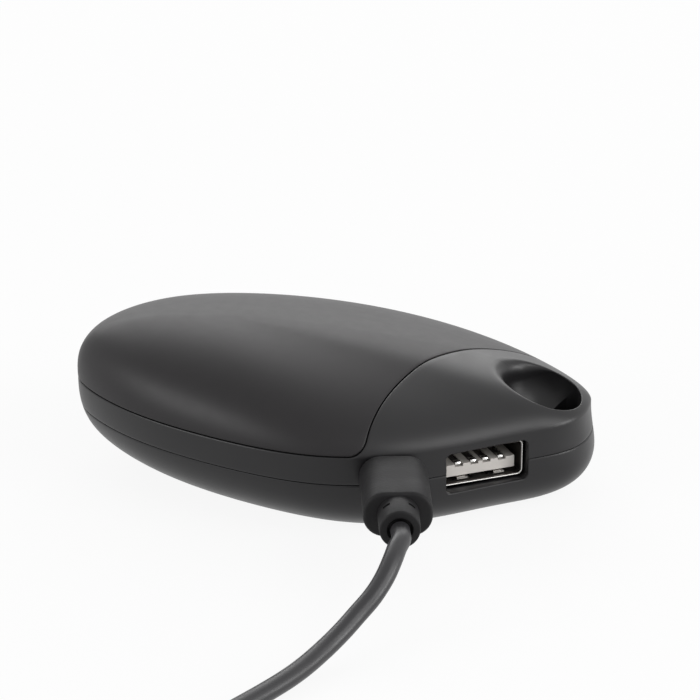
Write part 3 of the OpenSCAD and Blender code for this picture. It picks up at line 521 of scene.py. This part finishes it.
def build_upper(material):
    """The upper housing's outside: its band, its cap with the scoop, its ledge and its deck."""
    count = len(ANGLES)
    edge = edge_climb(ANGLES, -COVER_GAP / 2 - UPPER_ROUND)
    ledge = edge_climb(ANGLES, -COVER_GAP / 2)
    # Rows up to the cover's edge, closer together in the part that holds the scoop's mouth
    shares = np.concatenate([[0.04], np.linspace(0.1, 0.66, 24), np.linspace(0.68, 1, 40)])
    climbs = -1 + (edge[None, :] + 1) * shares[:, None]
    rings = [bowl_point(ANGLES, PARTING_Z, PARTING_BEVEL),
             bowl_point(ANGLES, PARTING_Z + PARTING_BEVEL * SHOULDER_SHARES[0],
                        PARTING_BEVEL * SHOULDER_SHARES[1])]
    first = len(rings)
    rings += [skin_point(ANGLES, c) for c in climbs]
    for a in np.radians([30, 60, 90]):
        climb = edge_climb(ANGLES, -COVER_GAP / 2 - UPPER_ROUND * (1 - sin(a)))
        rings.append(dome_point(ANGLES, climb, UPPER_ROUND * (1 - cos(a))))
    rings.append(dome_point(ANGLES, ledge, DECK_INSET))
    for share in np.linspace(0, 1, 14)[1:-1]:
        rings.append(dome_point(ANGLES, ledge + (1 - ledge) * share, DECK_INSET))
    # The part of the grid that gives way to the scoop: columns and rows
    left, right = np.searchsorted(ANGLES, (SCOOP_LEFT, SCOOP_RIGHT))
    rows = (SCOOP_ROWS[0] + first, SCOOP_ROWS[1] + first)
    around = ([(rows[0], i) for i in range(left, right)] + [(j, right) for j in range(*rows)]
              + [(rows[1], i) for i in range(right, left, -1)]
              + [(j, left) for j in range(rows[1], rows[0], -1)])
    perimeter = np.array([(ANGLES[i], climbs[j - first, i]) for j, i in around])
    scoop = scoop_rings(perimeter, np.array(SCOOP_CENTRE))
    points = np.concatenate(rings + [[dome_top(DECK_INSET)]] + scoop[1:])
    faces = []
    for j in range(len(rings) - 1):
        for i in range(count):
            if not (rows[0] <= j < rows[1] and left <= i < right):
                k = (i + 1) % count
                faces.append((j * count + i, j * count + k, (j + 1) * count + k, (j + 1) * count + i))
    summit = len(rings) * count
    faces += [(summit - count + i, summit - count + (i + 1) % count, summit) for i in range(count)]
    loop = [j * count + i for j, i in around]
    size = len(around)
    for n in range(len(scoop) - 1):
        ring = [summit + 1 + n * size + i for i in range(size)]
        faces += [(loop[i], loop[(i + 1) % size], ring[(i + 1) % size], ring[i]) for i in range(size)]
        loop = ring
    outer = [Vector(p) for p in rings[0]]
    hole = [Vector(p) for p in scoop[-1]]
    place = list(range(count)) + loop
    faces += [tuple(place[v] for v in t) for t in tessellate_polygon([outer, hole])]
    return mesh_object("upper_shell", points, faces, material, smooth=35)


def build_upper_hollow():
    """What is hollow in the upper housing, clear of the hole's wall and of the scoop's."""
    seat = WALL - LIP_T - LIP_GAP
    ledge = edge_climb(ANGLES, -COVER_GAP / 2)
    rings = [bowl_point(ANGLES, PARTING_Z - 1, seat),
             bowl_point(ANGLES, PARTING_Z + LIP_H + LIP_GAP, seat),
             bowl_point(ANGLES, PARTING_Z + LIP_H + LIP_GAP, WALL)]
    rings += [skin_point(ANGLES, -1 + (ledge + 1) * s, WALL) for s in (0.45, 0.62, 0.74)]
    rings += [dome_point(ANGLES, ledge + (1 - ledge) * s, DECK_UNDER)
              for s in np.linspace(0, 0.96, 10)]
    hollow = loft("hollow", rings)
    subtract(hollow, cylinder(BORE_AT, BORE_R + SCOOP_WALL, PARTING_Z - 2, PARTING_Z + DOME_H - 2))
    rows, sides = 24, 48
    grown = [SCOOP_AT
             + (SCOOP_R + SCOOP_WALL) * cos(a) * (cos(b) * EGG_SIDE + sin(b) * np.array([0, 1, 0]))
             + (SCOOP_HALF + SCOOP_WALL) * sin(a) * EGG_AXIS
             for a in np.linspace(-pi / 2, pi / 2, rows + 2)[1:-1]
             for b in np.linspace(0, 2 * pi, sides + 1)[:-1]]
    subtract(hollow, loft("liner", np.array(grown).reshape(rows, sides, 3)))
    return hollow


def cylinder(at, r, low, high):
    """An upright cylinder between two heights."""
    turn = np.linspace(0, 2 * pi, ROUND_SIDES + 1)[:-1]
    ring = np.stack([at[0] + r * np.cos(turn), at[1] + r * np.sin(turn), 0 * turn], -1)
    return loft("cylinder", [ring + [0, 0, low], ring + [0, 0, high]])


def build_lower(material):
    """The lower housing: a bowl with a rounded foot, a lip and the lanyard hole's wall."""
    inner = WALL - LIP_T
    rings = [bowl_point(ANGLES, FOOT_ROUND * (1 - cos(a)), FOOT_ROUND * (1 - sin(a)))
             for a in np.radians([0, 22, 45, 67, 90])]
    rings += [bowl_point(ANGLES, PARTING_Z * s) for s in np.linspace(0.05, 0.96, 26)]
    rings += [bowl_point(ANGLES, PARTING_Z - PARTING_BEVEL),
              bowl_point(ANGLES, PARTING_Z - PARTING_BEVEL * SHOULDER_SHARES[0],
                         PARTING_BEVEL * SHOULDER_SHARES[1]),
              bowl_point(ANGLES, PARTING_Z, PARTING_BEVEL), bowl_point(ANGLES, PARTING_Z, inner),
              bowl_point(ANGLES, PARTING_Z + LIP_H, inner)]
    shell = loft("lower_shell", rings, material, smooth=35)
    hollow = loft("hollow", [bowl_point(ANGLES, WALL + (PARTING_Z - WALL) * s, WALL)
                             for s in (0, 0.06, 0.14, 0.3, 0.6, 1, 1.25)])
    subtract(hollow, cylinder(BORE_AT, BORE_R + SCOOP_WALL, 0, PARTING_Z))
    subtract(shell, hollow)
    subtract(shell, cylinder(BORE_AT, BORE_R, -1, PARTING_Z + 2))
    return shell


def cut_openings(shell):
    """The mouths of both ports, the switch's slot and the lights' holes."""
    subtract(shell, opening(SOCKET, MOUTH_W, MOUTH_H, MOUTH_R))
    subtract(shell, opening(INLET, *INLET_MOUTH))
    if shell.name == "upper_shell":
        subtract(shell, opening(SWITCH, *SLOT_MOUTH, across=SLOT_SHIFT, fillet=SLOT_FILLET))
        for i in range(LIGHT_COUNT):
            across = (i - (LIGHT_COUNT - 1) / 2) * LIGHT_PITCH
            subtract(shell, opening(LIGHTS, *LIGHT_MOUTH, across=across, fillet=LIGHT_FILLET))


# Charging lead

def smooth_path(points, step):
    """A finer line through points, by cubic pieces between them."""
    points = np.asarray(points, float)
    before = np.concatenate([[2 * points[0] - points[1]], points[:-1]])
    after = np.concatenate([points[1:], [2 * points[-1] - points[-2]]])
    line = []
    for i in range(len(points) - 1):
        p0, p1, p2, p3 = before[i], points[i], points[i + 1], after[i + 1]
        count = max(1, round(float(np.linalg.norm(p2 - p1)) / step))
        for t in np.arange(count) / count:
            line.append(0.5 * (2 * p1 + (p2 - p0) * t + (2 * p0 - 5 * p1 + 4 * p2 - p3) * t * t
                               + (3 * p1 - p0 - 3 * p2 + p3) * t ** 3))
    line.append(points[-1])
    return np.array(line)


def sweep(name, path, r, material):
    """A round tube along a path."""
    ahead = np.gradient(path, axis=0)
    ahead /= np.linalg.norm(ahead, axis=1)[:, None]
    across = np.cross([0, 0, 1], ahead)
    across /= np.linalg.norm(across, axis=1)[:, None]
    up = np.cross(ahead, across)
    turn = np.linspace(0, 2 * pi, CABLE_SIDES + 1)[:-1]
    rings = []
    for i in range(len(path)):
        ring = path[i] + r * (np.cos(turn)[:, None] * across[i] + np.sin(turn)[:, None] * up[i])
        rings.append(ring)
    return loft(name, rings, material, smooth=50)


def coil_point(turn):
    """The coil's line after a number of turns: inward on the floor, then outward on top."""
    r = COIL_R - COIL_PITCH * min(turn, COIL_TURNS - turn)
    a = COIL_START + 2 * pi * turn
    share = min(max((turn - COIL_TURNS / 2) * 2 + 0.5, 0), 1)
    z = COIL_Z + COIL_LAYER * share * share * (3 - 2 * share)
    return np.array([COIL_CENTRE[0] + r * cos(a), COIL_CENTRE[1] + r * sin(a), z])


COIL_HEADING = np.array([-sin(COIL_START), cos(COIL_START), 0])
FAR_START = np.array([*coil_point(0)[:2], FAR_GRIP[1] / 2]) + COIL_HEADING * TAIL_LEN


def cable_path():
    """The whole cable's line, from the plug's collar round the coil to the far plug."""
    out = -INLET[2]
    start = INLET[0] + out * (GRIP_GAP + GRIP_LEN + COLLAR_LEN)
    coil = [coil_point(0) - COIL_HEADING * CABLE_D]
    coil += [coil_point(i / LOOP_RINGS) for i in range(COIL_TURNS * LOOP_RINGS + 1)]
    coil += [coil_point(COIL_TURNS) + COIL_HEADING * CABLE_D]
    route = [start, start + out * CABLE_D] + [np.array(p) for p in LEAD_ROUTE]
    route += [coil[0] - COIL_HEADING * CABLE_D] + coil + [coil[-1] + COIL_HEADING * CABLE_D]
    route += [np.array(p) for p in TAIL_ROUTE] + [FAR_START - COIL_HEADING * CABLE_D, FAR_START]
    return smooth_path(route, 1)


def soft_bar(name, port, w, h, r, edge, front, back, material):
    """A rounded bar along a port's axis, the edges of both its ends rounded."""
    turns = np.radians([90, 65, 45, 25, 0])
    spans = [(front + edge * (1 - sin(a)), edge * (1 - cos(a))) for a in turns]
    spans += [(back - edge * (1 - sin(a)), edge * (1 - cos(a))) for a in turns[::-1]]
    rings = []
    for depth, shrink in spans:
        flat = round_rect(w - shrink * 2, h - shrink * 2, r - shrink)[0]
        rings.append(port_ring(port, flat, depth))
    return loft(name, rings, material, smooth=50)


def turned(name, port, profile, material=None):
    """A round piece along a port's axis from pairs of depth and radius."""
    turn = np.linspace(0, 2 * pi, ROUND_SIDES + 1)[:-1]
    flat = np.stack([np.cos(turn), np.sin(turn)], -1)
    rings = [port_ring(port, r * flat, depth) for depth, r in profile]
    return loft(name, rings, material, smooth=50)


def box_at(port, across, depth, up, tilt):
    """A closed box in a port's frame from three pairs of limits, turned about the port's axis."""
    corners = np.array([(x, y, z) for y in depth for x, z in
                        ((across[0], up[0]), (across[1], up[0]), (across[1], up[1]), (across[0], up[1]))])
    turned_x = corners[:, 0] * cos(tilt) + corners[:, 2] * sin(tilt)
    turned_z = -corners[:, 0] * sin(tilt) + corners[:, 2] * cos(tilt)
    points = in_port(port, np.stack([turned_x, corners[:, 1], turned_z], -1))
    return loft("box", [points[:4], points[4:]])


def bent_strip(name, port, at, width, line, thick, material):
    """A bent metal strip: line is pairs of depth and height along its middle."""
    step, side_share = 0.08, 0.4
    line = smooth_path([(0, *pair) for pair in line], step)[:, 1:]
    ahead = np.gradient(line, axis=0)
    ahead /= np.linalg.norm(ahead, axis=1)[:, None]
    off = np.stack([-ahead[:, 1], ahead[:, 0]], -1) * thick / 2
    edge = thick * 0.3
    rings = []
    for pair, side in zip(line, off):
        ring = [(across, *(pair + side * share)) for across, share in (
            (width / 2 - edge, 1), (-width / 2 + edge, 1), (-width / 2, side_share),
            (-width / 2, -side_share), (-width / 2 + edge, -1), (width / 2 - edge, -1),
            (width / 2, -side_share), (width / 2, side_share))]
        rings.append(in_port(port, np.array(ring) + [at, 0, 0]))
    return loft(name, rings, material, smooth=60)


def build_socket_trim(bright):
    """The socket's bright parts: its shell's front edge, its springs and its contacts' bent tips."""
    flats = [round_rect(SOCKET_W + grow * 2, SOCKET_H + grow * 2, MOUTH_R + grow)[0]
             for grow, _ in RIM_PROFILE]
    rings = [port_ring(SOCKET, flat, depth) for flat, (_, depth) in zip(flats, RIM_PROFILE)]
    rim = mesh_object("socket_rim", np.concatenate(rings), endless_faces(len(rings), len(rings[0])),
                      bright, 50)
    floor = -SOCKET_H / 2 + SOCKET_SHEET
    line = [(depth, floor + height) for depth, height in SPRING_LINE]
    springs = join([bent_strip("spring", SOCKET, at, SPRING_W, line, SPRING_T, bright)
                    for at in SPRING_PLACES])
    tips = join([bent_strip("tip", SOCKET, SOCKET_W * share, TIP_W, TIP_LINE, TIP_T, bright)
                 for share in TIP_SHARES])
    for piece in (springs, tips):
        shade(piece, 60)
    return rim, springs, tips


def build_heater(material):
    """The heater film: a sheet under the cover, from near its edge to near the summit."""
    ledge = edge_climb(ANGLES, HEATER_REACH)
    shares = np.linspace(0.04, 0.94, 12)
    rings = [dome_point(ANGLES, ledge + (1 - ledge) * s, COVER_T + HEATER_TOP) for s in shares]
    rings += [dome_point(ANGLES, ledge + (1 - ledge) * s, COVER_T + HEATER_UNDER)
              for s in shares[::-1]]
    return mesh_object("heater_sheet", np.concatenate(rings),
                       endless_faces(len(rings), len(ANGLES)), material)


def build_collar(material):
    """The collar behind the grip, its end hollowed round the cable and its top slit twice."""
    root = -GRIP_GAP - GRIP_LEN
    tip = root - COLLAR_LEN
    r_tip = COLLAR_R - COLLAR_TAPER
    profile = [(root, COLLAR_R)] + [(tip + depth, r_tip - loss) for depth, loss in COLLAR_END]
    profile += [(tip + depth, CABLE_D / 2 + gap) for depth, gap in COLLAR_HOLLOW]
    collar = turned("plug_collar_rubber", INLET, profile, material)
    for side in (-1, 1):
        slit = box_at(INLET, (-SLIT_HALF, SLIT_HALF), (root - SLIT_FROM, root - SLIT_TO),
                      (COLLAR_R - SLIT_DEPTH, COLLAR_R + 1), side * SLIT_TILT)
        subtract(collar, slit)
    shade(collar, 40)
    return collar


# Materials

def material(name, colour, roughness, metallic=0.0, specular=0.5, **extra):
    """A node material and its shader. Extra values are set straight on the shader's sockets."""
    made = bpy.data.materials.new(name)
    made.use_nodes = True
    shader = made.node_tree.nodes["Principled BSDF"]
    shader.inputs["Base Color"].default_value = (*colour, 1)
    shader.inputs["Roughness"].default_value = roughness
    shader.inputs["Metallic"].default_value = metallic
    shader.inputs["Specular IOR Level"].default_value = specular
    for socket, value in extra.items():
        shader.inputs[socket.replace("_", " ")].default_value = value
    return made, shader


def noise(tree, scale, detail, stretch=(1, 1, 1)):
    """A noise over the object's own coordinates, which are in metres."""
    place = tree.nodes.new("ShaderNodeTexCoord")
    mapping = tree.nodes.new("ShaderNodeMapping")
    mapping.inputs["Scale"].default_value = stretch
    field = tree.nodes.new("ShaderNodeTexNoise")
    field.inputs["Scale"].default_value = scale
    field.inputs["Detail"].default_value = detail
    tree.links.new(place.outputs["Object"], mapping.inputs["Vector"])
    tree.links.new(mapping.outputs["Vector"], field.inputs["Vector"])
    return field.outputs["Fac"]


def spread(tree, field, low, high, target):
    """A field stretched to a range of numbers, into a shader's socket."""
    shift = tree.nodes.new("ShaderNodeMapRange")
    shift.inputs["From Min"].default_value = 0.3
    shift.inputs["From Max"].default_value = 0.7
    shift.inputs["To Min"].default_value = low
    shift.inputs["To Max"].default_value = high
    tree.links.new(field, shift.inputs["Value"])
    tree.links.new(shift.outputs["Result"], target)


def tint(tree, field, low, high, target):
    """A field turned into a colour between two, into a shader's socket."""
    ramp = tree.nodes.new("ShaderNodeValToRGB")
    ramp.color_ramp.elements[0].position = 0.32
    ramp.color_ramp.elements[1].position = 0.68
    ramp.color_ramp.elements[0].color = (*low, 1)
    ramp.color_ramp.elements[1].color = (*high, 1)
    tree.links.new(field, ramp.inputs["Fac"])
    tree.links.new(ramp.outputs["Color"], target)


def bump(tree, field, height, shader):
    """A field turned into relief of a height in metres, on a shader."""
    node = tree.nodes.new("ShaderNodeBump")
    node.inputs["Distance"].default_value = height
    tree.links.new(field, node.inputs["Height"])
    tree.links.new(node.outputs["Normal"], shader.inputs["Normal"])


def scaled(colour, share):
    """A colour made darker or lighter by a share."""
    return tuple(min(c * share, 1) for c in colour)


def plastic(name, colour, roughness, grain=3000, height=4e-6, vary=0.08, uneven=0.05, **extra):
    """Moulded plastic or rubber: a fine grain, uneven gloss and a slight change of tone."""
    made, shader = material(name, colour, roughness, **extra)
    tree = made.node_tree
    tint(tree, noise(tree, grain * 0.06, 4), scaled(colour, 1 - vary), scaled(colour, 1 + vary),
         shader.inputs["Base Color"])
    spread(tree, noise(tree, grain * 0.11, 5), roughness - uneven, roughness + uneven,
           shader.inputs["Roughness"])
    bump(tree, noise(tree, grain, 2), height, shader)
    return made


def metal(name, colour, roughness, brushed=(1, 1, 8), grain=900, uneven=0.07, height=2e-6):
    """Plated or bare metal, with its gloss uneven along the way it was drawn or stamped."""
    made, shader = material(name, colour, roughness, metallic=1.0)
    tree = made.node_tree
    tint(tree, noise(tree, grain * 0.2, 4), scaled(colour, 0.9), scaled(colour, 1.06),
         shader.inputs["Base Color"])
    field = noise(tree, grain, 4, brushed)
    spread(tree, field, roughness - uneven, roughness + uneven, shader.inputs["Roughness"])
    bump(tree, field, height, shader)
    return made


def make_materials():
    """Every look of the part by its short name."""
    nickel = metal("nickel", (0.72, 0.71, 0.69), 0.24)
    gold = metal("gold_plate", (0.83, 0.62, 0.29), 0.28)
    # Painted shade: a darkened nickel colour for the socket's shell and contacts, standing in for the
    # shadow inside the socket
    shaded = metal("painted_shade_socket_metal", (0.17, 0.16, 0.15), 0.42)
    black_nylon = plastic("black_nylon", (0.014, 0.014, 0.015), 0.42)
    board = plastic("board_mask", (0.012, 0.09, 0.035), 0.3, grain=1400)
    return {
        "cover": plastic("soft_touch", (0.017, 0.0158, 0.0168), 0.44, grain=5200, height=3.5e-6,
                         vary=0.04, uneven=0.015, specular=0.24),
        "housing": plastic("satin_black", (0.0095, 0.0091, 0.0099), 0.38, grain=2600, height=1.2e-6,
                           vary=0.05, uneven=0.02, specular=0.36),
        "grip": plastic("matte_rubber", (0.0095, 0.0092, 0.0098), 0.58, grain=1900, height=2.6e-5,
                        vary=0.3, specular=0.2),
        "cable": plastic("cable_jacket", (0.024, 0.0235, 0.0255), 0.38, grain=2800, height=5e-6,
                         specular=0.42),
        "nickel": nickel, "gold": gold, "shaded": shaded, "black_nylon": black_nylon, "board": board,
        "tongue": plastic("ivory_nylon", (0.63, 0.6, 0.565), 0.45, grain=1800, height=3e-6, vary=0.05),
        "clear": plastic("light_guide", (0.82, 0.86, 0.88), 0.12, Transmission_Weight=0.85, IOR=1.49),
        "led": plastic("led_body", (0.8, 0.78, 0.6), 0.35),
        "slider": plastic("slider_black", (0.03, 0.03, 0.032), 0.4, grain=3000, height=6e-6),
        "foil": metal("pouch_foil", (0.66, 0.67, 0.69), 0.34, brushed=(1, 1, 1), grain=420, height=1.2e-5),
        "foam": plastic("foam_tape", (0.74, 0.72, 0.66), 0.9, grain=2200, height=4e-5),
        "heater": plastic("heater_film", (0.42, 0.13, 0.035), 0.3, grain=1200, height=2e-6, vary=0.16),
        "red_wire": plastic("red_wire", (0.5, 0.02, 0.015), 0.4),
        "bead": plastic("thermistor_epoxy", (0.03, 0.016, 0.01), 0.22),
        "ceramic": plastic("capacitor", (0.36, 0.22, 0.1), 0.4, grain=1600),
        "ferrite": plastic("ferrite", (0.045, 0.045, 0.048), 0.6, grain=2600, height=1e-5),
        "steel": metal("steel_screw", (0.55, 0.55, 0.56), 0.3),
        "tie": plastic("tie_nylon", (0.012, 0.012, 0.013), 0.36),
    }


NODE_MATERIALS = {
    "red_wire": ["heater_leads", "cell_leads"], "bead": ["thermistor"],
    "foil": ["pouch_cell"], "foam": ["cell_tape"], "board": ["cell_board", "control_board"],
    "black_nylon": ["control_chip", "plug_insert", "inlet_tongue"], "ferrite": ["inductor"],
    "ceramic": ["capacitors"], "steel": ["board_screws", "housing_screws"],
    "nickel": ["inlet_shell", "plug_shell", "far_plug_shell", "switch_case"],
    # The socket's shell and contacts take the darkened metal, painted shade for the socket's dark inside
    "shaded": ["socket_shell", "socket_contacts"],
    "tongue": ["socket_tongue", "far_plug_insert"],
    "gold": ["inlet_contacts", "plug_contacts", "far_plug_contacts"],
    "slider": ["switch_slider"], "led": ["status_leds"], "clear": ["light_guide"], "tie": ["cable_tie"],
}


# Stage

def seen_directly(tree):
    """1 for camera, glossy and transmission rays, and 0 for the rays that light the scene."""
    path = tree.nodes.new("ShaderNodeLightPath")
    first = tree.nodes.new("ShaderNodeMath")
    second = tree.nodes.new("ShaderNodeMath")
    for node in (first, second):
        node.operation = "MAXIMUM"
    tree.links.new(path.outputs["Is Camera Ray"], first.inputs[0])
    tree.links.new(path.outputs["Is Glossy Ray"], first.inputs[1])
    tree.links.new(first.outputs[0], second.inputs[0])
    tree.links.new(path.outputs["Is Transmission Ray"], second.inputs[1])
    return second.outputs[0]


def add_floor():
    """A pale floor that shows white to the camera and keeps a share of its shading."""
    corners = [(x * FLOOR_HALF, y * FLOOR_HALF, FLOOR_Z)
               for x, y in ((-1, -1), (1, -1), (1, 1), (-1, 1))]
    floor = mesh_object("floor", corners, [(0, 1, 2, 3)])
    made, shader = material("white_floor", (0.86, 0.86, 0.86), 0.9, specular=0.1)
    tree = made.node_tree
    white = tree.nodes.new("ShaderNodeEmission")
    white.inputs["Color"].default_value = (1, 1, 1, 1)
    white.inputs["Strength"].default_value = 1.0
    share = tree.nodes.new("ShaderNodeMath")
    share.operation = "MULTIPLY"
    share.inputs[1].default_value = FLOOR_WHITE_SHARE
    mix = tree.nodes.new("ShaderNodeMixShader")
    tree.links.new(seen_directly(tree), share.inputs[0])
    tree.links.new(share.outputs[0], mix.inputs[0])
    tree.links.new(shader.outputs[0], mix.inputs[1])
    tree.links.new(white.outputs[0], mix.inputs[2])
    tree.links.new(mix.outputs[0], tree.nodes["Material Output"].inputs["Surface"])
    floor.data.materials.append(made)


def add_world(strength):
    """White light from all round at a plain level, and a world that shows white."""
    world = bpy.data.worlds.new("studio")
    world.use_nodes = True
    tree = world.node_tree
    lit = tree.nodes["Background"]
    lit.inputs["Color"].default_value = (1, 1, 1, 1)
    lit.inputs["Strength"].default_value = strength
    seen = tree.nodes.new("ShaderNodeBackground")
    seen.inputs["Color"].default_value = (1, 1, 1, 1)
    seen.inputs["Strength"].default_value = 1.0
    mix = tree.nodes.new("ShaderNodeMixShader")
    tree.links.new(seen_directly(tree), mix.inputs[0])
    tree.links.new(lit.outputs[0], mix.inputs[1])
    tree.links.new(seen.outputs[0], mix.inputs[2])
    tree.links.new(mix.outputs[0], tree.nodes["World Output"].inputs["Surface"])
    bpy.context.scene.world = world


def add_softbox(name, place, size, power):
    """A rectangular studio light, turned to the part."""
    light = bpy.data.lights.new(name, "AREA")
    light.shape = "RECTANGLE"
    light.size, light.size_y = size
    light.energy = power
    obj = bpy.data.objects.new(name, light)
    bpy.context.scene.collection.objects.link(obj)
    obj.location = place
    obj.rotation_euler = (LIGHTS_AIM - Vector(place)).to_track_quat("-Z", "Y").to_euler()


# The scene

add_camera()
looks = make_materials()
for look, names in NODE_MATERIALS.items():
    for node_name in names:
        node_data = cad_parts[node_name].data
        node_data.materials.clear()
        node_data.materials.append(looks[look])

line = cable_path()
cable = sweep("cable", line, CABLE_D / 2, looks["cable"])
far_port = (FAR_START, np.array([-cos(COIL_START), -sin(COIL_START), 0]), -COIL_HEADING)
far_back = -FAR_COLLAR - FAR_GRIP[2]
far_profile = [(-FAR_COLLAR - FAR_COLLAR_SINK, COLLAR_R)]
far_profile += [(depth, COLLAR_R - loss) for depth, loss in FAR_COLLAR_END]
far_grip = join([soft_bar("far_grip_rubber", far_port, FAR_GRIP[0], FAR_GRIP[1],
                          FAR_GRIP[1] * FAR_GRIP_R_SHARE, FAR_GRIP_EDGE, far_back, -FAR_COLLAR,
                          looks["grip"]),
                 turned("far_collar", far_port, far_profile)])
shade(far_grip, 50)
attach(cable, "lead")
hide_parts("cable_lead", "cable_coil", "cable_tail")
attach(far_grip, "lead")
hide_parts("far_plug_grip")

cover = build_cover(looks["cover"])
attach(cover, "warmer")
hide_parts("top_cover")

upper = build_upper(looks["housing"])
subtract(upper, build_upper_hollow())
lower = build_lower(looks["housing"])
for shell, node_name in ((upper, "upper_housing"), (lower, "lower_housing")):
    cut_openings(shell)
    shade(shell, 35)
    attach(shell, "warmer")
    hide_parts(node_name)

grip = soft_bar("plug_grip_rubber", INLET, GRIP_W, GRIP_H, GRIP_R, GRIP_EDGE,
                -GRIP_GAP - GRIP_LEN, -GRIP_GAP, looks["grip"])
collar = build_collar(looks["grip"])
for piece, node_name in ((grip, "plug_grip"), (collar, "plug_collar")):
    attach(piece, "lead")
    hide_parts(node_name)

rim, springs, tips = build_socket_trim(looks["nickel"])
heater = build_heater(looks["heater"])
for piece, slot in ((rim, "shell_metal"), (springs, "shell_metal"), (tips, "contact"),
                    (heater, "heater")):
    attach(piece, "warmer")
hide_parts("heater_film")

add_floor()
add_world(WORLD_STRENGTH)
for name, (place, size, power) in SOFTBOXES.items():
    add_softbox(name, place, size, power)
bpy.context.scene.view_settings.view_transform = "Standard"
